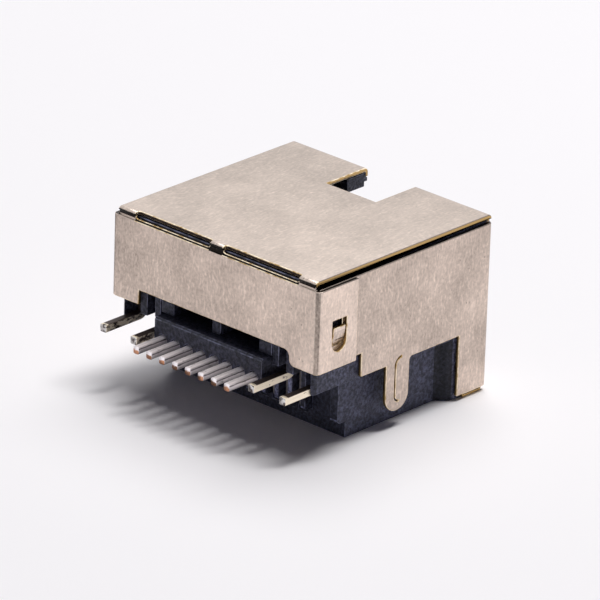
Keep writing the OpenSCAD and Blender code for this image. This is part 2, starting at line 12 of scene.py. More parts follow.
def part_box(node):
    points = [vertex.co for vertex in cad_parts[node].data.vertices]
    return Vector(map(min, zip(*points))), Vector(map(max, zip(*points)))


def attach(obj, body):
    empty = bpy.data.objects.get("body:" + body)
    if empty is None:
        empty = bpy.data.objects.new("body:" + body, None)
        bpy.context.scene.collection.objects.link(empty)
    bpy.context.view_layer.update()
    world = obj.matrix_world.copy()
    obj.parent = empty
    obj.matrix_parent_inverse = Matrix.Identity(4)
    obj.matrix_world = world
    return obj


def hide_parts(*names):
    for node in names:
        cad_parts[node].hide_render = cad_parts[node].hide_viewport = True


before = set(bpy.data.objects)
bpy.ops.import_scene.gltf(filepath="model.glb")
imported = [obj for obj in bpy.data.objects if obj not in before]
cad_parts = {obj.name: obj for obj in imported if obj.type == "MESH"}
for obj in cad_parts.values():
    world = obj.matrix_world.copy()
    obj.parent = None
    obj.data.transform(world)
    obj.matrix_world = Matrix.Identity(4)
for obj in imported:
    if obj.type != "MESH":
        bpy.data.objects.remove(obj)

bl_info = {
    "name": "Shielded ethernet jack",
    "version": (1, 0, 0),
    "blender": (4, 5, 0),
    "location": "View3D > Sidebar > Jack",
    "description": "Folded shield, moulded body, formed contacts and lamps of a sunk ethernet jack",
    "category": "Object",
}

MM = 0.001
CONTACT_NODES = ["contact_%d" % number for number in range(1, 9)]
LEAD_NODES = [
    "led_left_lead_outer",
    "led_left_lead_inner",
    "led_right_lead_inner",
    "led_right_lead_outer",
]
STRIP_TREE = "Rows of formed strips"
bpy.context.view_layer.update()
SHIELD_LOW, SHIELD_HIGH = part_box("shield")
# Y of the rear panel's outer face, from which depths run forward
REAR_Y = SHIELD_HIGH.y
# Depths that the rear fold, its slots and the coined groove stay within
FOLD_REACH = 0.35 * MM
SLOT_DEPTH = 1.5 * MM
GROOVE_DEPTH = 0.13 * MM
# Distances below the shield's top: the groove's upper edge, where the painted shade of its upper part ends
# past the slots, and its foot
GROOVE_TOP = 0.17 * MM
GROOVE_MIDDLE = 0.38 * MM
GROOVE_FOOT = 0.50 * MM
# Distances below the shield's top that the upper edges of its walls lie between
WALL_DROP = 0.27 * MM
UPPER_BAND = 1.0 * MM
# Degrees round an upright bend from the rear: where its painted dark reflection reaches full strength, and
# the ends of its painted pale highlight line
BEND_DARK = 14
BEND_HIGHLIGHT_START = 62
BEND_HIGHLIGHT_END = 82
# Parts of a normal along an axis: a face points that way, nearly does, or leans that way
SQUARE = 0.95
NEARLY = 0.9
LEANING = 0.3
# Allowance for rounding errors where a point is compared with a plane
HAIR = 0.01 * MM


# Settings

class JackShieldSettings(bpy.types.PropertyGroup):
    """Finish of the folded sheet, and the light and shade painted on it"""

    edge_roll: FloatProperty(
        name="Edge roll", description="Width of the rounding along sheared edges",
        default=0.045 * MM, min=0, subtype="DISTANCE", unit="LENGTH", precision=6)
    double_sheet: FloatProperty(
        name="Double sheet", description="A face with more metal than this behind it is a sheared edge",
        default=0.56 * MM, min=0, subtype="DISTANCE", unit="LENGTH", precision=6)
    plating: FloatVectorProperty(
        name="Plating", description="Colour of the satin nickel plating",
        default=(0.570, 0.471, 0.404), subtype="COLOR", min=0, max=1)
    brass: FloatVectorProperty(
        name="Brass", description="Colour of the burnished band of a sheared edge",
        default=(0.50, 0.33, 0.13), subtype="COLOR", min=0, max=1)
    fracture: FloatVectorProperty(
        name="Fracture", description="Colour of the torn band of a sheared edge",
        default=(0.030, 0.021, 0.018), subtype="COLOR", min=0, max=1)
    # The rim's colour, far paler than the plating, is a painted highlight along the rolled edges
    rim: FloatVectorProperty(
        name="Rim", description="Colour of the rolled rim along a sheared edge",
        default=(0.92, 0.78, 0.58), subtype="COLOR", min=0, max=1)
    # Painted light and shade: how much lighter the top panel and the sheet's other upward faces are made for
    # how the light falls on them
    top_light: FloatProperty(
        name="Top tone", description="How much lighter the top panel is than the walls",
        default=-0.058)
    # Painted highlight: the top panel grows lighter towards its rear corner on the -X side
    top_light_slope: FloatProperty(
        name="Top slope", description="How much lighter the top panel is at its rear than in the middle",
        default=0.07)
    # Painted light and shade: the rear panel grows darker towards +X and lighter towards -X
    rear_light_slope: FloatProperty(
        name="Rear slope", description="How much lighter the rear panel is at one end than in its middle",
        default=0.11)
    wing_tone: FloatProperty(
        name="Wing tone", description="How much lighter the wings are than the walls",
        default=0.30)
    # Painted dark reflection on the upright bends between the rear panel and the wings
    bend_reflection: FloatProperty(
        name="Bend tone", description="How much lighter the stretched plating on an upright bend is",
        default=-0.42)
    # Painted highlight: a pale line beside each upright bend
    bend_highlight: FloatProperty(
        name="Bend line", description="How much lighter the line beside an upright bend is",
        default=0.25)
    # Painted shade in the coined groove and in the crease under the rear fold
    groove_shade: FloatProperty(
        name="Groove tone", description="How much lighter the coined groove and the crease are",
        default=-0.99)
    # Painted light along the top of the rear fold; below zero it is painted shade
    fold_light: FloatProperty(
        name="Fold line", description="How much lighter the line along the top of the rear fold is",
        default=-0.15)
    roughness: FloatProperty(
        name="Roughness", description="Roughness of the satin plating",
        default=0.33, min=0, max=1, subtype="FACTOR")


class JackMouldingSettings(bpy.types.PropertyGroup):
    """Finish of the moulded body and the contact carrier, and the light and shade painted on them"""

    edge_radius: FloatProperty(
        name="Edge radius", description="Width of the rounding along moulded edges",
        default=0.036 * MM, min=0, subtype="DISTANCE", unit="LENGTH", precision=6)
    plastic: FloatVectorProperty(
        name="Plastic", description="Colour of the black moulding",
        default=(0.021, 0.022, 0.034), subtype="COLOR", min=0, max=1)
    grain_contrast: FloatProperty(
        name="Grain contrast", description="How many times lighter the grain's high spots are",
        default=4.5, min=1)
    # Painted light on the body's lower outer sides
    side_light: FloatProperty(
        name="Side sheen", description="How much lighter the body's upright outer sides are",
        default=0.85)
    flare_shade: FloatProperty(
        name="Flare shade", description="How much lighter the rounded flare of each side is",
        default=-0.6)
    # Painted light on the narrow ribs at the body's rear
    rib_light: FloatProperty(
        name="Rib sheen", description="How much lighter the ribs between the leads are",
        default=5.5)
    gloss: FloatProperty(
        name="Gloss", description="Strength of the plastic's reflection",
        default=0.22, min=0, max=1, subtype="FACTOR")
    roughness: FloatProperty(
        name="Roughness", description="Roughness of the spark-eroded surface",
        default=0.44, min=0, max=1, subtype="FACTOR")


class JackContactSettings(bpy.types.PropertyGroup):
    """Sizes of the formed contact strips, with depths forward of the rear panel"""

    count: IntProperty(name="Count", description="Number of contacts", default=8, min=1)
    pitch: FloatProperty(
        name="Pitch", description="Distance between neighbouring contacts",
        default=1.02 * MM, subtype="DISTANCE", unit="LENGTH", precision=6)
    width: FloatProperty(
        name="Width", description="Width of a contact",
        default=0.46 * MM, subtype="DISTANCE", unit="LENGTH", precision=6)
    thickness: FloatProperty(
        name="Thickness", description="Thickness of a contact",
        default=0.42 * MM, subtype="DISTANCE", unit="LENGTH", precision=6)
    edge_radius: FloatProperty(
        name="Edge radius", description="Radius along the strip's edges",
        default=0.09 * MM, subtype="DISTANCE", unit="LENGTH", precision=6)
    tip_bevel: FloatProperty(
        name="Tip bevel", description="Length of the bevel round the tips",
        default=0.05 * MM, subtype="DISTANCE", unit="LENGTH", precision=6)
    bend: FloatProperty(
        name="Bend", description="Radius of the bends at the middle of the thickness",
        default=0.46 * MM, subtype="DISTANCE", unit="LENGTH", precision=6)
    tail_height: FloatProperty(
        name="Tail height", description="Height of the tail's middle",
        default=4.06 * MM, subtype="DISTANCE", unit="LENGTH", precision=6)
    riser_depth: FloatProperty(
        name="Riser depth", description="Depth of the upright run",
        default=3.95 * MM, subtype="DISTANCE", unit="LENGTH", precision=6)
    turn_depth: FloatProperty(
        name="Turn depth", description="Depth where the contact turns back",
        default=12.6 * MM, subtype="DISTANCE", unit="LENGTH", precision=6)
    turn_radius: FloatProperty(
        name="Turn radius", description="Radius of the turn at the middle of the thickness",
        default=0.5 * MM, subtype="DISTANCE", unit="LENGTH", precision=6)
    arm_slope: FloatProperty(
        name="Arm slope", description="Slope of the spring arm",
        default=math.radians(24), subtype="ANGLE", unit="ROTATION")
    arm_end: FloatProperty(
        name="Arm end", description="Depth of the spring arm's free end",
        default=5.5 * MM, subtype="DISTANCE", unit="LENGTH", precision=6)
    root_width: FloatProperty(
        name="Root width", description="Width of the shoulder at the carrier",
        default=0.62 * MM, subtype="DISTANCE", unit="LENGTH", precision=6)
    root_thickness: FloatProperty(
        name="Root thickness", description="Thickness of the shoulder at the carrier",
        default=0.252 * MM, subtype="DISTANCE", unit="LENGTH", precision=6)
    root_length: FloatProperty(
        name="Root length", description="Length of the shoulder at the carrier",
        default=0.45 * MM, subtype="DISTANCE", unit="LENGTH", precision=6)
    tin: FloatVectorProperty(
        name="Tin", description="Colour of the tin plating",
        default=(0.97, 0.90, 0.91), subtype="COLOR", min=0, max=1)
    # The stain colour also serves for the dark line along the tails' sides and for the painted shade low on
    # them
    tin_stain_and_shade: FloatVectorProperty(
        name="Tin stain", description="Colour of the stains on the tin plating",
        default=(0.10, 0.085, 0.085), subtype="COLOR", min=0, max=1)
    copper: FloatVectorProperty(
        name="Copper", description="Colour of the cut ends",
        default=(0.62, 0.30, 0.17), subtype="COLOR", min=0, max=1)


class JackLampSettings(bpy.types.PropertyGroup):
    """Sizes and colours of the lamps and their leads, with depths forward of the rear panel"""

    lead_thickness: FloatProperty(
        name="Lead thickness", description="Thickness and width of a lead",
        default=0.46 * MM, subtype="DISTANCE", unit="LENGTH", precision=6)
    edge_radius: FloatProperty(
        name="Edge radius", description="Radius along a lead's edges",
        default=0.05 * MM, subtype="DISTANCE", unit="LENGTH", precision=6)
    tip_bevel: FloatProperty(
        name="Tip bevel", description="Length of the bevel round the tips",
        default=0.09 * MM, subtype="DISTANCE", unit="LENGTH", precision=6)
    lead_depth: FloatProperty(
        name="Lead depth", description="Depth of the leads' upright run",
        default=1.65 * MM, subtype="DISTANCE", unit="LENGTH", precision=6)
    bend: FloatProperty(
        name="Bend", description="Radius of a lead's bends at the middle of the thickness",
        default=0.45 * MM, subtype="DISTANCE", unit="LENGTH", precision=6)
    lens_radius: FloatProperty(
        name="Lens radius", description="Width of the rounding along a lamp's edges",
        default=0.14 * MM, subtype="DISTANCE", unit="LENGTH", precision=6)
    lead_plating: FloatVectorProperty(
        name="Lead plating", description="Colour of the leads",
        default=(1.0, 0.89, 0.72), subtype="COLOR", min=0, max=1)
    # The stain colour also serves for the painted dark reflection on the leads' tops and on the leads
    # towards +X
    lead_stain_and_reflection: FloatVectorProperty(
        name="Lead stain", description="Colour of the tarnish on the leads",
        default=(0.075, 0.055, 0.050), subtype="COLOR", min=0, max=1)
    lead_tip: FloatVectorProperty(
        name="Lead tip", description="Colour of the leads' cut ends",
        default=(0.86, 0.82, 0.80), subtype="COLOR", min=0, max=1)
    left_tint: FloatVectorProperty(
        name="Left tint", description="Colour of the left lamp's resin",
        default=(0.70, 0.86, 0.62), subtype="COLOR", min=0, max=1)
    right_tint: FloatVectorProperty(
        name="Right tint", description="Colour of the right lamp's resin",
        default=(0.88, 0.74, 0.42), subtype="COLOR", min=0, max=1)


class JackStageSettings(bpy.types.PropertyGroup):
    """Floor, light and camera"""

    aim: FloatVectorProperty(
        name="Aim", description="Point that the camera looks at",
        default=(0.538 * MM, -1.678 * MM, 5.078 * MM), subtype="TRANSLATION", unit="LENGTH",
        precision=6)
    distance: FloatProperty(
        name="Distance", description="Distance of the camera from that point",
        default=406 * MM, subtype="DISTANCE", unit="LENGTH")
    azimuth: FloatProperty(
        name="Azimuth", description="Angle of the camera round the jack",
        default=math.radians(222.21), subtype="ANGLE", unit="ROTATION")
    elevation: FloatProperty(
        name="Elevation", description="Angle of the camera above the horizon",
        default=math.radians(23.22), subtype="ANGLE", unit="ROTATION")
    roll: FloatProperty(
        name="Roll", description="Turn of the camera about its own axis",
        default=math.radians(1.92), subtype="ANGLE", unit="ROTATION")
    lens: FloatProperty(
        name="Lens", description="Focal length in millimetres for a sensor 36 mm wide",
        default=420.97, min=1)
    floor_size: FloatProperty(
        name="Floor size", description="Width of the square floor",
        default=1.6, subtype="DISTANCE", unit="LENGTH")
    floor_drop: FloatProperty(
        name="Floor drop", description="Hairline between the floor and the jack's underside",
        default=0.02 * MM, min=0, subtype="DISTANCE", unit="LENGTH", precision=6)
    floor_colour: FloatVectorProperty(
        name="Floor colour", description="Colour of the floor",
        default=(0.93, 0.91, 0.92), subtype="COLOR", min=0, max=1)
    backdrop: FloatVectorProperty(
        name="Backdrop", description="Colour that the camera sees past the floor",
        default=(0.95, 0.95, 0.96), subtype="COLOR", min=0, max=1)
    fill: FloatVectorProperty(
        name="Fill", description="Colour of the light from all round",
        default=(0.038, 0.039, 0.057), subtype="COLOR", min=0, max=1)
    room: FloatVectorProperty(
        name="Room", description="Colour of the room as metal and resin reflect it",
        default=(0.95, 0.97, 1.0), subtype="COLOR", min=0, max=1)
    key_power: FloatProperty(
        name="Key power", description="Power of the lamp overhead in watts",
        default=1.58, min=0)
    key_place: FloatVectorProperty(
        name="Key place", description="Place of the lamp overhead",
        default=(-0.055, -0.068, 0.50), subtype="TRANSLATION", unit="LENGTH", precision=4)
    key_size: FloatVectorProperty(
        name="Key size", description="Width and depth of the lamp overhead",
        default=(0.08, 0.21), size=2, subtype="XYZ_LENGTH", unit="LENGTH")
    soft_power: FloatProperty(
        name="Soft power", description="Power of the broad lamp in watts",
        default=1.27, min=0)
    soft_place: FloatVectorProperty(
        name="Soft place", description="Place of the broad lamp",
        default=(0.10, -0.22, 0.46), subtype="TRANSLATION", unit="LENGTH", precision=4)
    soft_size: FloatVectorProperty(
        name="Soft size", description="Width and depth of the broad lamp",
        default=(0.40, 0.32), size=2, subtype="XYZ_LENGTH", unit="LENGTH")


SETTINGS = {
    "jack_shield": JackShieldSettings,
    "jack_moulding": JackMouldingSettings,
    "jack_contacts": JackContactSettings,
    "jack_lamps": JackLampSettings,
    "jack_stage": JackStageSettings,
}


# Node helpers

def set_inputs(tree, node, inputs):
    """Sets a node's inputs to values, or links them to other nodes' sockets."""
    for key, value in inputs.items():
        if isinstance(value, bpy.types.NodeSocket):
            tree.links.new(value, node.inputs[key])
        else:
            node.inputs[key].default_value = value


def add_node(tree, kind, inputs=None, **settings):
    """A node with its settings and its inputs."""
    made = tree.nodes.new(kind)
    for key, value in settings.items():
        setattr(made, key, value)
    set_inputs(tree, made, inputs or {})
    return made


def new_material(name):
    """A material, its tree and its shader."""
    material = bpy.data.materials.new(name)
    material.use_nodes = True
    tree = material.node_tree
    return material, tree, tree.nodes["Principled BSDF"]


def math_node(tree, operation, first, second=0.5):
    made = add_node(tree, "ShaderNodeMath", {0: first, 1: second}, operation=operation)
    return made.outputs["Value"]


def plus(tree, first, second):
    return math_node(tree, "ADD", first, second)


def minus(tree, first, second):
    return math_node(tree, "SUBTRACT", first, second)


def times(tree, first, second):
    return math_node(tree, "MULTIPLY", first, second)


def larger(tree, first, second):
    return math_node(tree, "MAXIMUM", first, second)


def above(tree, value, limit):
    """1 where the value is above the limit."""
    return math_node(tree, "GREATER_THAN", value, limit)


def within(tree, value, low, high):
    """1 where the value lies between low and high."""
    inputs = {0: value, 1: (low + high) / 2, 2: (high - low) / 2}
    return add_node(tree, "ShaderNodeMath", inputs, operation="COMPARE").outputs["Value"]


def ramp(tree, factor, low, high):
    """The factor stretched so that low becomes 0 and high becomes 1."""
    made = add_node(tree, "ShaderNodeMapRange", {"Value": factor, "From Min": low, "From Max": high})
    return made.outputs["Result"]


def noise(tree, vector, scale, detail=2.0, roughness=0.5):
    """Noise whose scale is in cells for each unit of the vector."""
    made = add_node(tree, "ShaderNodeTexNoise",
                    {"Vector": vector, "Scale": scale, "Detail": detail, "Roughness": roughness})
    return made.outputs["Fac"]


def stretched(tree, vector, scale, turn=0.0):
    """Coordinates turned about Z and then scaled."""
    made = add_node(tree, "ShaderNodeMapping",
                    {"Vector": vector, "Rotation": (0, 0, turn), "Scale": scale}, vector_type="POINT")
    return made.outputs["Vector"]


def scratches(tree, vector, scale, turn, span):
    """Short marks at an angle in degrees: noise stretched so that the span becomes 0 to 1."""
    marks = noise(tree, stretched(tree, vector, scale, math.radians(turn)), 1.0, 1.0)
    return ramp(tree, marks, *span)


def object_place(tree):
    return add_node(tree, "ShaderNodeTexCoord").outputs["Object"]


def axes(tree, vector):
    """The X, Y and Z of a vector."""
    return tuple(add_node(tree, "ShaderNodeSeparateXYZ", {"Vector": vector}).outputs)


def painted(tree, name):
    """The value of an attribute of the mesh's corners."""
    return add_node(tree, "ShaderNodeAttribute", attribute_name=name).outputs["Fac"]


def scaled(tree, vector, share):
    """A vector or a colour made larger or smaller."""
    made = add_node(tree, "ShaderNodeVectorMath", {0: vector, "Scale": share}, operation="SCALE")
    return made.outputs["Vector"]


def bumps(tree, height, strength, distance):
    """The surface's direction where it is raised by the height."""
    made = add_node(tree, "ShaderNodeBump", {"Height": height, "Strength": strength, "Distance": distance})
    return made.outputs["Normal"]


def mix_colour(tree, factor, first, second):
    """The first colour where the factor is 0, and the second where it is 1."""
    made = add_node(tree, "ShaderNodeMix", data_type="RGBA")
    sockets = {socket.identifier: socket for socket in made.inputs}
    for identifier, value in (("Factor_Float", factor), ("A_Color", first), ("B_Color", second)):
        socket = sockets[identifier]
        if isinstance(value, bpy.types.NodeSocket):
            tree.links.new(value, socket)
        elif identifier == "Factor_Float":
            socket.default_value = value
        else:
            socket.default_value = (*value, 1)
    return next(socket for socket in made.outputs if socket.identifier == "Result_Color")


def shade(colour, share):
    """A colour made darker by a share below 1, or lighter by one above it."""
    return tuple(channel * share for channel in colour)


# Finishes, and the light and shade painted on them

def plated_sheet(settings):
    """Satin nickel on rolled brass: clouds, streaks, specks and curved scratches from the plating barrel,
    lightened or darkened by the painted light and shade on the corners.
    """
    material, tree, shader = new_material("satin_plating")
    sheet = add_node(tree, "ShaderNodeUVMap", uv_map="sheet").outputs["UV"]
    drift = add_node(tree, "ShaderNodeTexNoise", {"Vector": sheet, "Scale": 0.22, "Detail": 1.0})
    spread = scaled(tree, drift.outputs["Color"], 5.0)
    curved = add_node(tree, "ShaderNodeVectorMath", {0: sheet, 1: spread}, operation="ADD").outputs["Vector"]
    clouds = noise(tree, sheet, 0.30, 2.0, 0.55)
    streaks = noise(tree, stretched(tree, sheet, (3.2, 1.1, 1)), 1.0, 3.0, 0.65)
    specks = noise(tree, stretched(tree, sheet, (6.4, 4.8, 1)), 1.0, 3.0, 0.6)
    dashes = scratches(tree, sheet, (7.5, 1.6, 1), 32, (0.54, 0.72))
    pits = scratches(tree, sheet, (8.0, 4.0, 1), -25, (0.71, 0.80))
    swirls = scratches(tree, curved, (5.0, 2.6, 1), -50, (0.56, 0.76))
    grain = 0.0
    # Each kind of mark, the value of it that changes nothing, and how much lighter it makes the plating
    for mark, middle, share in (
        (clouds, 0.5, 0.85),
        (streaks, 0.5, 0.42),
        (specks, 0.5, 0.80),
        (dashes, 0.1, 0.24),
        (pits, 0.02, -0.50),
        (swirls, 0.1, 0.20),
    ):
        grain = plus(tree, grain, times(tree, minus(tree, mark, middle), share))
    # The painted light and shade on the corners lighten or darken the grained plating
    tone = plus(tree, times(tree, grain, painted(tree, "grain_depth")), painted(tree, "painted_light_and_tone"))
    tone = larger(tree, plus(tree, tone, 1.0), 0.02)
    height = plus(tree, plus(tree, specks, streaks), times(tree, dashes, -0.4))
    set_inputs(tree, shader, {
        "Base Color": scaled(tree, settings.plating, tone),
        "Roughness": plus(tree, settings.roughness - 0.07, times(tree, specks, 0.14)),
        "Normal": bumps(tree, height, 0.5, 0.008 * MM),
        "Metallic": 1.0,
    })
    return material


def sheared_brass(settings):
    """Bare brass, burnished near the outer side of the sheet and torn near the inner side; painted shade
    widens the dark torn band in the fold slots and along the walls' upper edges.
    """
    material, tree, shader = new_material("sheared_brass")
    tear = noise(tree, object_place(tree), 4500)
    ragged = plus(tree, painted(tree, "outer_side"), times(tree, minus(tree, tear, 0.5), 0.35))
    set_inputs(tree, shader, {
        "Base Color": mix_colour(tree, ramp(tree, ragged, 0.30, 0.48), settings.fracture, settings.brass),
        "Normal": bumps(tree, tear, 0.5, 0.01 * MM),
        "Metallic": 1.0,
        "Roughness": 0.38,
    })
    return material


def rolled_rim(settings, spans):
    """The rim where the plating rolls over a sheared edge, its pale colour a painted highlight.

    Painted shade dulls it along the walls' upper edges and the top panel's sides, it is a little darker than
    the plating past the ends of the fold slots, and painted shade makes it dark deep in the coined groove
    and on the bridge between the slots.
    """
    material, tree, shader = new_material("rolled_rim")
    place = object_place(tree)
    x, y, z = axes(tree, place)
    side, top = SHIELD_HIGH.x, SHIELD_HIGH.z
    # Lower ends of the top panel's rim and of the rim round the groove
    panel_foot = top - 0.10 * MM
    crease_foot = top - 0.60 * MM
    off_middle = math_node(tree, "ABSOLUTE", x)
    at_rear = above(tree, y, REAR_Y - FOLD_REACH)
    ahead = math_node(tree, "LESS_THAN", y, REAR_Y - FOLD_REACH)

    # Painted shade on the rims along the walls' upper edges and the top panel's sides
    wall_top = within(tree, z, top - UPPER_BAND, top - WALL_DROP)
    panel_side = times(tree, above(tree, off_middle, side - 0.5 * MM), above(tree, z, panel_foot))
    in_shade = times(tree, ahead, larger(tree, wall_top, panel_side))

    by_slot = 0.0
    for span in spans:
        by_slot = larger(tree, by_slot, within(tree, x, *span))
    reach = slot_reach(spans)
    # Painted shade deep in the coined groove and on the bridge between the slots
    deep = times(tree, within(tree, z, top - GROOVE_FOOT, top - 0.43 * MM),
                 within(tree, y, REAR_Y - GROOVE_DEPTH, REAR_Y - 0.03 * MM))
    deep = times(tree, deep, within(tree, x, -reach, reach))
    bridge = times(tree, minus(tree, 1.0, by_slot), within(tree, z, crease_foot, panel_foot))
    past_slots = times(tree, above(tree, off_middle, reach), within(tree, z, crease_foot, top - 0.30 * MM))
    crease_shade = times(tree, at_rear, larger(tree, deep, minus(tree, bridge, past_slots)))

    # Colours for the rim: a little darker than the plating past the slots, painted shade in the gaps, and
    # dark painted shade in the crease
    edge_light, shaded_rim, dark = (shade(settings.plating, share) for share in (0.85, 0.4, 0.03))
    spots = ramp(tree, noise(tree, place, 2500), 0.42, 0.66)
    rim = mix_colour(tree, spots, settings.rim, shade(settings.brass, 0.9))
    rim = mix_colour(tree, times(tree, at_rear, past_slots), rim, edge_light)
    rim = mix_colour(tree, in_shade, rim, shaded_rim)
    set_inputs(tree, shader, {
        "Base Color": mix_colour(tree, crease_shade, rim, dark),
        "Metallic": 1.0,
        "Roughness": 0.34,
    })
    return material


def moulded_edge(name, settings):
    """The smoother, glossier plastic of a rounded edge, with pale patches painted on as a highlight."""
    material, tree, shader = new_material(name)
    edge_light = ramp(tree, noise(tree, object_place(tree), 2600), 0.35, 0.7)
    pale = shade(settings.plastic, settings.grain_contrast * 2.6)
    set_inputs(tree, shader, {
        "Base Color": mix_colour(tree, edge_light, settings.plastic, pale),
        "Roughness": settings.roughness - 0.12,
        "Specular IOR Level": settings.gloss * 2,
    })
    return material


def moulded_plastic(name, settings, smoother):
    """Glass-filled black plastic from a spark-eroded mould, which may be smoother than the settings say."""
    material, tree, shader = new_material(name)
    place = object_place(tree)
    grain = noise(tree, place, 5200, 3.0, 0.6)
    clouds = noise(tree, place, 700)
    lit = times(tree, ramp(tree, grain, 0.40, 0.68), ramp(tree, clouds, -0.2, 0.65))
    black = mix_colour(tree, lit, settings.plastic, shade(settings.plastic, settings.grain_contrast))
    # The painted light and shade on the corners lighten or darken the plastic
    set_inputs(tree, shader, {
        "Base Color": scaled(tree, black, plus(tree, painted(tree, "painted_light_and_shade"), 1.0)),
        "Roughness": plus(tree, settings.roughness - smoother - 0.08, times(tree, clouds, 0.16)),
        "Normal": bumps(tree, grain, 1.0, 0.07 * MM),
        "Specular IOR Level": settings.gloss,
    })
    return material


def strip_plating(name, colour, stain_and_shade_colour, stain_range, metal, roughness=0.50, dark_reflection_drift=0.0, drawn=0.3,
                  dark_line_height=None, painted_dark_top=None):
    """Matte electroplating with draw lines along the strip and stains, and a painted dark reflection that
    can grow towards +X.

    The dark line height is where a dark line runs along a strip's side; below it the side gets painted
    shade. The painted dark top is the height above which the plating gets a painted dark reflection, and the
    Y beyond which it stays bright.
    """
    material, tree, shader = new_material(name)
    place = object_place(tree)
    x, y, z = axes(tree, place)
    lines = ramp(tree, noise(tree, stretched(tree, place, (9000, 600, 9000)), 1.0, 1.0), 0.45, 0.8)
    patches = noise(tree, stretched(tree, place, (3800, 1500, 3800)), 1.0, 3.0, 0.6)
    level = plus(tree, patches, times(tree, x, dark_reflection_drift))
    stain_and_shade = plus(tree, ramp(tree, level, *stain_range), times(tree, lines, drawn))
    # A dark line along the side, and painted shade below it
    if dark_line_height is not None:
        wave = times(tree, minus(tree, patches, 0.5), 0.12 * MM)
        off_dark_line = math_node(tree, "ABSOLUTE", minus(tree, plus(tree, z, wave), dark_line_height))
        stain_and_shade = plus(tree, stain_and_shade, times(tree, ramp(tree, off_dark_line, 0.05 * MM, 0.02 * MM), 0.8))
        below = ramp(tree, z, dark_line_height - 0.10 * MM, dark_line_height - 0.28 * MM)
        stain_and_shade = plus(tree, stain_and_shade, times(tree, below, 0.6))
    # A painted dark reflection on the top, away from the tip
    if painted_dark_top is not None:
        height, end = painted_dark_top
        on_painted_top = ramp(tree, z, height, height + 0.02 * MM)
        inward = ramp(tree, plus(tree, y, times(tree, patches, 0.3 * MM)), end + 0.04 * MM, end)
        stain_and_shade = larger(tree, stain_and_shade, times(tree, on_painted_top, inward))
    set_inputs(tree, shader, {
        "Base Color": mix_colour(tree, math_node(tree, "MINIMUM", stain_and_shade, 1.0), colour, stain_and_shade_colour),
        "Roughness": plus(tree, roughness - 0.05, times(tree, patches, 0.12)),
        "Metallic": metal,
    })
    return material


def cut_end(settings):
    """A cut end: bare copper low on it, with tin drawn over its upper part by the blade."""
    material, tree, shader = new_material("cut_copper_end")
    place = object_place(tree)
    height = axes(tree, place)[2]
    ragged = plus(tree, height, times(tree, noise(tree, place, 5000), 0.22 * MM))
    middle = settings.tail_height + 0.10 * MM
    tinned = ramp(tree, ragged, middle, middle + 0.07 * MM)
    spots = ramp(tree, noise(tree, place, 900), 0.42, 0.58)
    copper = mix_colour(tree, spots, shade(settings.copper, 0.28), settings.copper)
    set_inputs(tree, shader, {
        "Base Color": mix_colour(tree, tinned, copper, settings.tin),
        "Metallic": 0.9,
        "Roughness": 0.42,
    })
    return material


def lamp_resin(name, tint):
    """Tinted, slightly milky resin."""
    material, tree, shader = new_material(name)
    milk = ramp(tree, noise(tree, object_place(tree), 1500), 0.3, 0.8)
    pale = tuple(0.5 + 0.5 * channel for channel in tint)
    set_inputs(tree, shader, {
        "Base Color": mix_colour(tree, milk, tint, pale),
        "Roughness": 0.16,
        "IOR": 1.54,
        "Transmission Weight": 0.55,
    })
    return material


# Mesh helpers

def merged_copy(node):
    """A bmesh copy of a node's loose triangles with their shared corners merged."""
    work = bmesh.new()
    work.from_mesh(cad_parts[node].data)
    bmesh.ops.remove_doubles(work, verts=work.verts, dist=0.0005 * MM)
    work.normal_update()
    return work


def join_flat_faces(work):
    """Joins the triangles of each flat face of one material."""
    bmesh.ops.dissolve_limit(
        work, angle_limit=math.radians(0.4), verts=work.verts, edges=work.edges, delimit={"MATERIAL"})


def mark_sheared_faces(work, double_sheet):
    """Gives material 1 to each face with more metal behind it than two sheets."""
    inside = BVHTree.FromBMesh(work)
    step = 0.002 * MM
    for face in work.faces:
        start = face.calc_center_median() - face.normal * step
        hit = inside.ray_cast(start, -face.normal, double_sheet)
        face.material_index = 1 if hit[0] is None else 0


def lay_sheet_out(work):
    """Writes a UV map in millimetres that runs over the folds, with V along the grain."""
    layer = work.loops.layers.uv.new("sheet")
    for face in work.faces:
        across, along = {0: (1, 2), 1: (0, 2), 2: (0, 1)}[
            max(range(3), key=lambda axis: abs(face.normal[axis]))]
        for loop in face.loops:
            point = loop.vert.co / MM
            loop[layer].uv = (point[across], point[along])


def slot_spans(work):
    """The stretches of X that the fold slots take up, from the slots' sheared walls."""
    walls = []
    for face in work.faces:
        centre = face.calc_center_median()
        if (
            face.material_index == 1
            and face.normal.y > LEANING
            and centre.z > SHIELD_HIGH.z - 0.3 * MM
            and REAR_Y - SLOT_DEPTH < centre.y < REAR_Y - 0.2 * MM
        ):
            walls.append((min(v.co.x for v in face.verts), max(v.co.x for v in face.verts)))
    spans = []
    for low_x, high_x in sorted(walls):
        if spans and low_x < spans[-1][1] + 0.1 * MM:
            spans[-1][1] = max(spans[-1][1], high_x)
        else:
            spans.append([low_x, high_x])
    return spans


def slot_reach(spans):
    """How far from the shield's middle the fold slots end."""
    return max(abs(end) for span in spans for end in span)


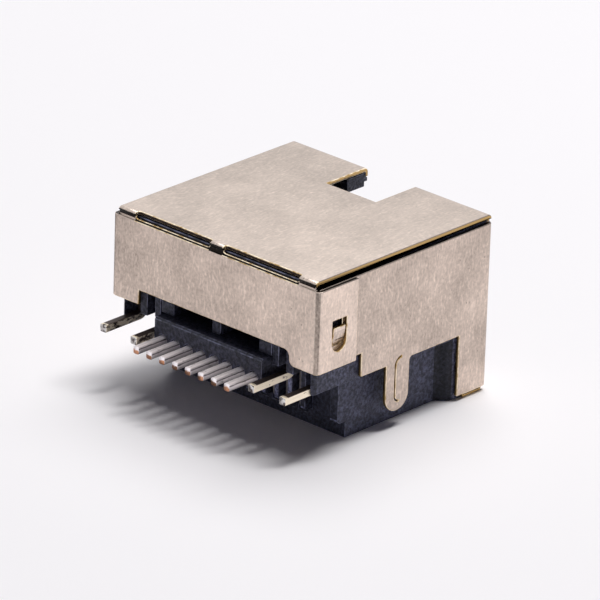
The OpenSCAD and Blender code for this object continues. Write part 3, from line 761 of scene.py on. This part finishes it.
def cut_by_slots(work, spans):
    """Parts the faces along the rear fold where the fold slots end, and along the groove's middle."""
    cuts = [((end, 0, 0), (1, 0, 0)) for span in spans for end in span]
    cuts.append(((0, 0, SHIELD_HIGH.z - GROOVE_MIDDLE), (0, 0, 1)))
    for point, normal in cuts:
        near = []
        for face in work.faces:
            centre = face.calc_center_median()
            if (
                centre.y > REAR_Y - FOLD_REACH
                and SHIELD_HIGH.z - 0.55 * MM < centre.z < SHIELD_HIGH.z - 0.02 * MM
            ):
                near.append(face)
        # Each edge and corner once, in an order that is the same in every run
        edges = dict.fromkeys(edge for face in near for edge in face.edges)
        verts = dict.fromkeys(vert for face in near for vert in face.verts)
        bmesh.ops.bisect_plane(
            work, geom=[*near, *edges, *verts], dist=0.0005 * MM, plane_co=point, plane_no=normal)


def lies_in_groove(face):
    """Whether a face is the floor or a wall of the coined groove along the rear fold."""
    points = [vert.co for vert in face.verts]
    top = SHIELD_HIGH.z
    return (
        all(REAR_Y - GROOVE_DEPTH < p.y < REAR_Y + HAIR for p in points)
        and all(top - GROOVE_FOOT < p.z < top - GROOVE_TOP for p in points)
        and (face.normal.y < NEARLY or all(p.y < REAR_Y - HAIR for p in points))
    )


def burnish_and_painted_shade(face):
    """How burnished a sheared face's outer side is, lowered as painted shade in the fold slots and on the
    walls' upper edges.
    """
    centre = face.calc_center_median()
    upper = centre.z > SHIELD_HIGH.z - UPPER_BAND
    if upper and face.normal.y > LEANING and centre.y > REAR_Y - SLOT_DEPTH:
        return 0.44
    if upper and face.normal.z > NEARLY and centre.z < SHIELD_HIGH.z - WALL_DROP:
        return 0.6 if centre.y > REAR_Y - FOLD_REACH else 0.0
    return 1.0


def bend_reflection(loop, settings):
    """How much lighter the plating is painted round an upright bend between the rear panel and a wing: a
    painted dark reflection, a painted pale highlight line beside it, then the wing's tone.
    """
    normal = loop.vert.normal
    turn = math.degrees(math.atan2(abs(normal.x), max(normal.y, 0)))
    if turn < BEND_HIGHLIGHT_START:
        return settings.bend_reflection * min(1.0, turn / BEND_DARK)
    return settings.bend_highlight if turn < BEND_HIGHLIGHT_END else settings.wing_tone


def painted_light_tone(face, loop, settings, past_slots):
    """How much lighter the plating is at one corner of a face: painted light and shade, and the wings' tone.
    """
    normal = face.normal
    centre = face.calc_center_median()
    points = [vert.co for vert in face.verts]
    place = loop.vert.co
    plated = face.material_index != 1
    upper = centre.z > SHIELD_HIGH.z - UPPER_BAND
    on_fold = upper and plated and normal.y > 0.03 and normal.z > 0.05
    if lies_in_groove(face):
        # Past the slots the groove's lower part gets no painted shade
        pale = past_slots and centre.z < SHIELD_HIGH.z - GROOVE_MIDDLE and normal.z > -0.5
        return 0.0 if pale else settings.groove_shade
    if plated and not on_fold and abs(normal.z) < 0.1 and 0.04 < abs(normal.x) < 0.999 and normal.y > 0:
        return bend_reflection(loop, settings)
    if all(p.y > REAR_Y - HAIR for p in points):
        return -settings.rear_light_slope * place.x / SHIELD_HIGH.x
    if normal.z > SQUARE and centre.z > SHIELD_HIGH.z - HAIR:
        return settings.top_light + settings.top_light_slope * (place.y - place.x) / SHIELD_HIGH.x
    if all(abs(abs(p.x) - SHIELD_HIGH.x) < HAIR for p in points):
        return settings.wing_tone
    if normal.z > SQUARE:
        return settings.top_light
    if on_fold:
        return settings.fold_light if normal.z > (0.6 if past_slots else 0.75) else settings.groove_shade
    return 0.0


def mark_painted_light_and_grain(work, settings, spans):
    """Writes the painted light and shade on the sheet, and its grain, as attributes of the corners.

    outer_side is 1 at the sheet's outer side of a sheared face and 0 at its inner side, lowered as painted
    shade in the fold slots and on the walls' upper edges. The tone attribute says how much lighter a spot is
    painted. grain_depth says how strong the grain is there.
    """
    outer_side = work.loops.layers.float.new("outer_side")
    painted_light_and_tone = work.loops.layers.float.new("painted_light_and_tone")
    grain_depth = work.loops.layers.float.new("grain_depth")
    middle = (SHIELD_LOW + SHIELD_HIGH) / 2
    for face in work.faces:
        in_groove = lies_in_groove(face)
        depth = 0.35 if in_groove else 0.6 if face.normal.z > NEARLY else 1.0
        # Painted shade lowers the burnish in the fold slots and on the walls' upper edges
        burnished = burnish_and_painted_shade(face) if face.material_index == 1 else 1.0
        past_slots = abs(face.calc_center_median().x) > slot_reach(spans)
        for loop in face.loops:
            plated = [near.normal for near in loop.vert.link_faces if near.material_index == 0]
            outward = loop.vert.co - middle
            loop[outer_side] = burnished if any(normal.dot(outward) > 0 for normal in plated) else 0.0
            loop[grain_depth] = depth
            loop[painted_light_and_tone] = painted_light_tone(face, loop, settings, past_slots)
        if in_groove:
            face.material_index = 0


def mark_painted_light(work, settings):
    """Writes the painted light on the body's lower outer sides and its narrow rear ribs, and the painted
    shade on its rounded flares.
    """
    painted_light_and_shade = work.loops.layers.float.new("painted_light_and_shade")
    high = Vector([max(v.co[axis] for v in work.verts) for axis in range(3)])
    for face in work.faces:
        normal = face.normal
        centre = face.calc_center_median()
        width = max(v.co.x for v in face.verts) - min(v.co.x for v in face.verts)
        amount = 0.0
        if normal.y > LEANING and LEANING < abs(normal.x) < 0.96 and centre.y < 0:
            amount = settings.flare_shade
        elif abs(normal.x) > NEARLY and centre.z < high.z * 0.55 and abs(centre.x) > high.x * 0.8:
            amount = settings.side_light
        elif normal.y > NEARLY and width < 0.8 * MM and centre.z < high.z * 0.6 and centre.y > 0:
            amount = settings.rib_light
        for loop in face.loops:
            loop[painted_light_and_shade] = amount


def new_piece(name, work, materials):
    """A piece from a bmesh, shaded smooth, with its materials."""
    mesh = bpy.data.meshes.new(name)
    for face in work.faces:
        face.smooth = True
    work.to_mesh(mesh)
    work.free()
    for material in materials:
        mesh.materials.append(material)
    piece = bpy.data.objects.new(name, mesh)
    bpy.context.scene.collection.objects.link(piece)
    return piece


def round_edges(piece, nodes, width, segments=2, angle=32, material=-1):
    """Rounds the sharp edges of a piece and keeps its corners on the surface of its nodes."""
    bevel = piece.modifiers.new("rounded edges", "BEVEL")
    bevel.width = width
    bevel.segments = segments
    bevel.limit_method = "ANGLE"
    bevel.angle_limit = math.radians(angle)
    bevel.use_clamp_overlap = False
    bevel.material = material
    graph = bpy.context.evaluated_depsgraph_get()
    mesh = bpy.data.meshes.new_from_object(piece.evaluated_get(graph))
    mesh.name = piece.name
    piece.modifiers.remove(bevel)
    plain = piece.data
    piece.data = mesh
    bpy.data.meshes.remove(plain)
    surface = bmesh.new()
    for node in nodes:
        surface.from_mesh(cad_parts[node].data)
    tree = BVHTree.FromBMesh(surface)
    surface.free()
    for vert in mesh.vertices:
        nearest = tree.find_nearest(vert.co)
        if nearest[3] > width * 0.5:
            vert.co = nearest[0]
    shading = piece.modifiers.new("flat faces", "WEIGHTED_NORMAL")
    shading.weight = 100


def place_piece(piece, nodes):
    """Puts a piece on the one body, in place of its nodes."""
    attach(piece, "root")
    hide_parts(*nodes)


# Formed strips

def arc(centre, radius, start, end, steps=8):
    """Points along an arc of depth and height, from one angle in degrees to another."""
    points = []
    for step in range(steps + 1):
        angle = math.radians(start + (end - start) * step / steps)
        points.append((centre[0] + radius * math.cos(angle), centre[1] + radius * math.sin(angle)))
    return points


def strip_path(points, bevel, bevel_share):
    """A mesh of edges along points of depth and height, thinner at its two ends."""
    work = bmesh.new()
    scale = work.verts.layers.float.new("tip_scale")
    first, last = Vector(points[0]), Vector(points[-1])
    inner_first = first + (Vector(points[1]) - first).normalized() * bevel
    inner_last = last + (Vector(points[-2]) - last).normalized() * bevel
    line = [first, inner_first, *[Vector(p) for p in points[1:-1]], inner_last, last]
    verts = []
    for number, (depth, height) in enumerate(line):
        vert = work.verts.new((0, REAR_Y - depth, height))
        vert[scale] = bevel_share if number in (0, len(line) - 1) else 1.0
        verts.append(vert)
    for a, b in zip(verts, verts[1:]):
        work.edges.new((a, b))
    return work


def swept_strip(tree, curve, width, thickness, edge_radius):
    """A strip along a curve, with rounded edges and closed ends."""
    outline = add_node(tree, "GeometryNodeCurvePrimitiveQuadrilateral",
                       {"Width": thickness, "Height": width})
    soft = add_node(tree, "GeometryNodeFilletCurve",
                    {"Curve": outline.outputs["Curve"], "Radius": edge_radius, "Count": 3}, mode="POLY")
    sweep = add_node(tree, "GeometryNodeCurveToMesh",
                     {"Curve": curve, "Profile Curve": soft.outputs["Curve"], "Fill Caps": True})
    return sweep.outputs["Mesh"]


def row_of_points(tree, count, spacing):
    """Points along X with the row's middle at zero."""
    step = add_node(tree, "ShaderNodeCombineXYZ", {"X": spacing})
    first = times(tree, times(tree, minus(tree, count, 1.0), spacing), -0.5)
    start = add_node(tree, "ShaderNodeCombineXYZ", {"X": first})
    line = add_node(tree, "GeometryNodeMeshLine", {
        "Count": count,
        "Start Location": start.outputs["Vector"],
        "Offset": step.outputs["Vector"],
    })
    return line.outputs["Mesh"]


def strip_tree():
    """Geometry nodes: a strip swept along a path, with a shoulder, repeated in groups along X."""
    tree = bpy.data.node_groups.new(STRIP_TREE, "GeometryNodeTree")
    face = tree.interface
    face.new_socket("Geometry", in_out="OUTPUT", socket_type="NodeSocketGeometry")
    for name, kind in (
        ("Path", "NodeSocketGeometry"),
        ("Width", "NodeSocketFloat"),
        ("Thickness", "NodeSocketFloat"),
        ("Edge radius", "NodeSocketFloat"),
        ("Shoulder width", "NodeSocketFloat"),
        ("Shoulder thickness", "NodeSocketFloat"),
        ("Shoulder start", "NodeSocketVector"),
        ("Shoulder end", "NodeSocketVector"),
        ("Strips in a group", "NodeSocketInt"),
        ("Strip spacing", "NodeSocketFloat"),
        ("Groups", "NodeSocketInt"),
        ("Group spacing", "NodeSocketFloat"),
        ("Tip line", "NodeSocketFloat"),
        ("Plating", "NodeSocketMaterial"),
        ("Cut end", "NodeSocketMaterial"),
    ):
        face.new_socket(name, in_out="INPUT", socket_type=kind)
    given = tree.nodes.new("NodeGroupInput").outputs
    radius = given["Edge radius"]

    path = add_node(tree, "GeometryNodeMeshToCurve", {"Mesh": given["Path"]})
    scale = add_node(tree, "GeometryNodeInputNamedAttribute", {"Name": "tip_scale"}, data_type="FLOAT")
    sized = add_node(tree, "GeometryNodeSetCurveRadius",
                     {"Curve": path.outputs["Curve"], "Radius": scale.outputs["Attribute"]})
    strip = swept_strip(tree, sized.outputs["Curve"], given["Width"], given["Thickness"], radius)
    edge = add_node(tree, "GeometryNodeCurvePrimitiveLine",
                    {"Start": given["Shoulder start"], "End": given["Shoulder end"]})
    shoulder = swept_strip(
        tree, edge.outputs["Curve"], given["Shoulder width"], given["Shoulder thickness"], radius)
    one = add_node(tree, "GeometryNodeJoinGeometry")
    tree.links.new(shoulder, one.inputs["Geometry"])
    tree.links.new(strip, one.inputs["Geometry"])

    group = add_node(tree, "GeometryNodeInstanceOnPoints", {
        "Points": row_of_points(tree, given["Strips in a group"], given["Strip spacing"]),
        "Instance": one.outputs["Geometry"],
    })
    groups = add_node(tree, "GeometryNodeInstanceOnPoints", {
        "Points": row_of_points(tree, given["Groups"], given["Group spacing"]),
        "Instance": group.outputs["Instances"],
    })
    real = add_node(tree, "GeometryNodeRealizeInstances", {"Geometry": groups.outputs["Instances"]})
    smooth = add_node(tree, "GeometryNodeSetShadeSmooth", {"Geometry": real.outputs["Geometry"]})
    plated = add_node(tree, "GeometryNodeSetMaterial",
                      {"Geometry": smooth.outputs["Geometry"], "Material": given["Plating"]})
    facing = axes(tree, add_node(tree, "GeometryNodeInputNormal").outputs["Normal"])
    place = axes(tree, add_node(tree, "GeometryNodeInputPosition").outputs["Position"])
    at_tip = times(tree, above(tree, facing[1], NEARLY), above(tree, place[1], given["Tip line"]))
    ended = add_node(tree, "GeometryNodeSetMaterial", {
        "Geometry": plated.outputs["Geometry"],
        "Selection": at_tip,
        "Material": given["Cut end"],
    })
    add_node(tree, "NodeGroupOutput", {"Geometry": ended.outputs["Geometry"]})
    return tree


def strip_piece(name, path, values):
    """A plain mesh piece from a path and the values of the tree's inputs."""
    host_mesh = bpy.data.meshes.new(name + "_path")
    path.to_mesh(host_mesh)
    path.free()
    host = bpy.data.objects.new(name + "_path", host_mesh)
    bpy.context.scene.collection.objects.link(host)
    tree = bpy.data.node_groups.get(STRIP_TREE) or strip_tree()
    rows = host.modifiers.new("rows of strips", "NODES")
    rows.node_group = tree
    sockets = {item.name: item.identifier for item in tree.interface.items_tree}
    for key, value in values.items():
        rows[sockets[key]] = value
    graph = bpy.context.evaluated_depsgraph_get()
    mesh = bpy.data.meshes.new_from_object(host.evaluated_get(graph))
    mesh.name = name
    bpy.data.objects.remove(host)
    bpy.data.meshes.remove(host_mesh)
    piece = bpy.data.objects.new(name, mesh)
    bpy.context.scene.collection.objects.link(piece)
    piece.modifiers.new("flat faces", "WEIGHTED_NORMAL")
    return piece


# Operators

class JACK_OT_shield(bpy.types.Operator):
    """Make the folded shield with its rolled edges and its bare sheared faces"""

    bl_idname = "jack.shield"
    bl_label = "Folded shield"

    def execute(self, context):
        settings = context.scene.jack_shield
        work = merged_copy("shield")
        mark_sheared_faces(work, settings.double_sheet)
        join_flat_faces(work)
        lay_sheet_out(work)
        spans = slot_spans(work)
        cut_by_slots(work, spans)
        mark_painted_light_and_grain(work, settings, spans)
        finishes = [plated_sheet(settings), sheared_brass(settings), rolled_rim(settings, spans)]
        piece = new_piece("folded_shield", work, finishes)
        round_edges(piece, ["shield"], settings.edge_roll, material=2)
        place_piece(piece, ["shield"])
        return {"FINISHED"}


class JACK_OT_mouldings(bpy.types.Operator):
    """Make the moulded body and the contact carrier"""

    bl_idname = "jack.mouldings"
    bl_label = "Moulded body and carrier"

    def execute(self, context):
        settings = context.scene.jack_moulding
        for name, node, finish, smoother in (
            ("moulded_body", "housing", "body_plastic", 0.0),
            ("moulded_carrier", "contact_carrier", "carrier_plastic", 0.06),
        ):
            work = merged_copy(node)
            join_flat_faces(work)
            mark_painted_light(work, settings)
            plastic = moulded_plastic(finish, settings, smoother)
            piece = new_piece(name, work, [plastic, moulded_edge(finish + "_edge", settings)])
            round_edges(piece, [node], settings.edge_radius, material=1)
            place_piece(piece, [node])
        return {"FINISHED"}


class JACK_OT_contacts(bpy.types.Operator):
    """Make the eight formed contacts from their tails to their spring arms"""

    bl_idname = "jack.contacts"
    bl_label = "Formed contacts"

    def execute(self, context):
        settings = context.scene.jack_contacts
        low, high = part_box("contact_1")
        bend, tail = settings.bend, settings.tail_height
        run = low.z + settings.thickness / 2
        turn = run + settings.turn_radius
        slope = settings.arm_slope
        turn_stop = 90 - math.degrees(slope)
        arm = arc((settings.turn_depth, turn), settings.turn_radius, -90, turn_stop, steps=14)
        from_depth, from_height = arm[-1]
        arm_height = from_height + (from_depth - settings.arm_end) * math.tan(slope)
        riser = settings.riser_depth
        points = [
            (REAR_Y - high.y, tail),
            *arc((riser - bend, tail - bend), bend, 90, 0),
            *arc((riser + bend, run + bend), bend, 180, 270),
            *arm,
            (settings.arm_end, arm_height),
        ]
        path = strip_path(points, settings.tip_bevel, bevel_share=0.86)
        carrier_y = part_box("contact_carrier")[1].y
        shoulder_z = tail - settings.thickness / 2 + settings.root_thickness / 2
        piece = strip_piece("formed_contacts", path, {
            "Width": settings.width,
            "Thickness": settings.thickness,
            "Edge radius": settings.edge_radius,
            "Shoulder width": settings.root_width,
            "Shoulder thickness": settings.root_thickness,
            "Shoulder start": (0, carrier_y + settings.root_length, shoulder_z),
            "Shoulder end": (0, carrier_y, shoulder_z),
            "Strips in a group": settings.count,
            "Strip spacing": settings.pitch,
            "Groups": 1,
            "Group spacing": 0.0,
            "Tip line": high.y - HAIR,
            "Plating": strip_plating(
                "tin_plating", settings.tin, settings.tin_stain_and_shade, (0.60, 0.84), metal=0.75, drawn=0.2,
                dark_line_height=tail + settings.thickness * 0.22),
            "Cut end": cut_end(settings),
        })
        place_piece(piece, CONTACT_NODES)
        return {"FINISHED"}


class JACK_OT_lamp_leads(bpy.types.Operator):
    """Make the four bent leads of the lamps"""

    bl_idname = "jack.lamp_leads"
    bl_label = "Lamp leads"

    def execute(self, context):
        settings = context.scene.jack_lamps
        low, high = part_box("led_right_lead_outer")
        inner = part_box("led_right_lead_inner")
        half = settings.lead_thickness / 2
        bend, depth = settings.bend, settings.lead_depth
        floor_run, lamp_run = low.z + half, high.z - half
        points = [
            (REAR_Y - high.y, floor_run),
            *arc((depth - bend, floor_run + bend), bend, -90, 0),
            *arc((depth + bend, lamp_run - bend), bend, 180, 90),
            (REAR_Y - low.y, lamp_run),
        ]
        path = strip_path(points, settings.tip_bevel, bevel_share=0.72)
        outer_x = (low.x + high.x) / 2
        inner_x = (inner[0].x + inner[1].x) / 2
        # Painted dark reflection on the leads' tops and growing towards +X, in the stain colour
        plating = strip_plating(
            "lead_plating", settings.lead_plating, settings.lead_stain_and_reflection, (0.56, 0.68), metal=0.9,
            dark_reflection_drift=14.0, drawn=0.1, painted_dark_top=(floor_run + half - 0.035 * MM, high.y - 0.10 * MM))
        tip = strip_plating(
            "lead_tip", settings.lead_tip, settings.lead_stain_and_reflection, (0.44, 0.62), metal=0.6, roughness=0.35)
        piece = strip_piece("lamp_leads", path, {
            "Width": settings.lead_thickness,
            "Thickness": settings.lead_thickness,
            "Edge radius": settings.edge_radius,
            "Shoulder width": settings.lead_thickness * 0.5,
            "Shoulder thickness": settings.lead_thickness * 0.5,
            "Shoulder start": (0, low.y + settings.lead_thickness, lamp_run),
            "Shoulder end": (0, low.y + half, lamp_run),
            "Strips in a group": 2,
            "Strip spacing": outer_x - inner_x,
            "Groups": 2,
            "Group spacing": outer_x + inner_x,
            "Tip line": high.y - HAIR,
            "Plating": plating,
            "Cut end": tip,
        })
        place_piece(piece, LEAD_NODES)
        return {"FINISHED"}


class JACK_OT_lamps(bpy.types.Operator):
    """Make the two lamp bodies"""

    bl_idname = "jack.lamps"
    bl_label = "Lamp bodies"

    def execute(self, context):
        settings = context.scene.jack_lamps
        for side, tint in (("left", settings.left_tint), ("right", settings.right_tint)):
            work = merged_copy("led_" + side)
            join_flat_faces(work)
            piece = new_piece(side + "_lamp", work, [lamp_resin(side + "_resin", tint)])
            round_edges(piece, ["led_" + side], settings.lens_radius, segments=3)
            place_piece(piece, ["led_" + side])
        return {"FINISHED"}


class JACK_OT_stage(bpy.types.Operator):
    """Make the pale floor, the soft light and the camera"""

    bl_idname = "jack.stage"
    bl_label = "Stage"

    def execute(self, context):
        settings = context.scene.jack_stage
        make_floor(settings)
        make_world(settings)
        key = make_lamp("key_lamp", settings.key_power, settings.key_size, settings.key_place)
        # Its mirror image would turn the flat top white in a view from above
        key.visible_glossy = False
        make_lamp("soft_lamp", settings.soft_power, settings.soft_size, settings.soft_place)
        make_camera(settings)
        context.scene.view_settings.view_transform = "Standard"
        return {"FINISHED"}


def make_floor(settings):
    """A pale floor that can be looked through from below."""
    material, tree, shader = new_material("pale_floor")
    set_inputs(tree, shader, {
        "Base Color": (*settings.floor_colour, 1),
        "Roughness": 0.7,
        "Specular IOR Level": 0.2,
    })
    clear = add_node(tree, "ShaderNodeBsdfTransparent")
    below = add_node(tree, "ShaderNodeNewGeometry").outputs["Backfacing"]
    both = add_node(tree, "ShaderNodeMixShader",
                    {"Fac": below, 1: shader.outputs["BSDF"], 2: clear.outputs["BSDF"]})
    set_inputs(tree, tree.nodes["Material Output"], {"Surface": both.outputs["Shader"]})
    work = bmesh.new()
    bmesh.ops.create_grid(work, x_segments=1, y_segments=1, size=settings.floor_size / 2)
    bmesh.ops.translate(work, verts=work.verts, vec=(0, 0, -settings.floor_drop))
    new_piece("stage_floor", work, [material])


def make_world(settings):
    """Light from all round: a weak fill, a pale backdrop, and a pale room for metal and resin to show."""
    world = bpy.data.worlds.new("soft_room")
    bpy.context.scene.world = world
    world.use_nodes = True
    tree = world.node_tree
    tree.nodes.clear()
    fill, room, backdrop = (
        add_node(tree, "ShaderNodeBackground", {"Color": (*colour, 1)}).outputs["Background"]
        for colour in (settings.fill, settings.room, settings.backdrop)
    )
    rays = add_node(tree, "ShaderNodeLightPath").outputs
    mirrored = larger(tree, rays["Is Glossy Ray"], rays["Is Transmission Ray"])
    unseen = add_node(tree, "ShaderNodeMixShader", {"Fac": mirrored, 1: fill, 2: room})
    both = add_node(tree, "ShaderNodeMixShader",
                    {"Fac": rays["Is Camera Ray"], 1: unseen.outputs["Shader"], 2: backdrop})
    add_node(tree, "ShaderNodeOutputWorld", {"Surface": both.outputs["Shader"]})


def make_lamp(name, power, size, place):
    """A rectangular lamp that faces the jack."""
    light = bpy.data.lights.new(name, "AREA")
    light.energy = power
    light.shape = "RECTANGLE"
    light.size, light.size_y = size
    lamp = bpy.data.objects.new(name, light)
    bpy.context.scene.collection.objects.link(lamp)
    lamp.location = Vector(place)
    lamp.rotation_mode = "QUATERNION"
    lamp.rotation_quaternion = (-Vector(place)).to_track_quat("-Z", "Y")
    return lamp


def make_camera(settings):
    """The camera at the angle of the view, turned a little about its axis."""
    back = Vector((
        math.sin(settings.azimuth) * math.cos(settings.elevation),
        -math.cos(settings.azimuth) * math.cos(settings.elevation),
        math.sin(settings.elevation),
    ))
    level = Vector((0, 0, 1)).cross(back).normalized()
    upward = back.cross(level)
    right = level * math.cos(settings.roll) + upward * math.sin(settings.roll)
    up = back.cross(right)
    data = bpy.data.cameras.new("camera")
    data.sensor_width = 36
    data.lens = settings.lens
    data.clip_start = 0.01
    data.clip_end = 10
    camera = bpy.data.objects.new("camera", data)
    bpy.context.scene.collection.objects.link(camera)
    turned = Matrix((right, up, back)).transposed().to_4x4()
    place = Vector(settings.aim) + back * settings.distance
    camera.matrix_world = Matrix.Translation(place) @ turned
    bpy.context.scene.camera = camera


class JACK_PT_panel(bpy.types.Panel):
    """The jack's pieces and their settings"""

    bl_idname = "JACK_PT_panel"
    bl_label = "Ethernet jack"
    bl_space_type = "VIEW_3D"
    bl_region_type = "UI"
    bl_category = "Jack"

    def draw(self, context):
        for operator in PIECES:
            self.layout.operator(operator.bl_idname)
        for name in SETTINGS:
            box = self.layout.box()
            box.label(text=name.replace("_", " "))
            group = getattr(context.scene, name)
            for key in group.bl_rna.properties.keys():
                if key not in ("rna_type", "name"):
                    box.prop(group, key)


PIECES = [
    JACK_OT_shield,
    JACK_OT_mouldings,
    JACK_OT_contacts,
    JACK_OT_lamp_leads,
    JACK_OT_lamps,
    JACK_OT_stage,
]
CLASSES = [*SETTINGS.values(), *PIECES, JACK_PT_panel]


def register():
    for cls in CLASSES:
        bpy.utils.register_class(cls)
    for name, cls in SETTINGS.items():
        setattr(bpy.types.Scene, name, PointerProperty(type=cls))


def unregister():
    for name in SETTINGS:
        delattr(bpy.types.Scene, name)
    for cls in reversed(CLASSES):
        bpy.utils.unregister_class(cls)


def main():
    register()
    bpy.ops.jack.shield()
    bpy.ops.jack.mouldings()
    bpy.ops.jack.contacts()
    bpy.ops.jack.lamp_leads()
    bpy.ops.jack.lamps()
    bpy.ops.jack.stage()


if __name__ == "__main__":
    main()
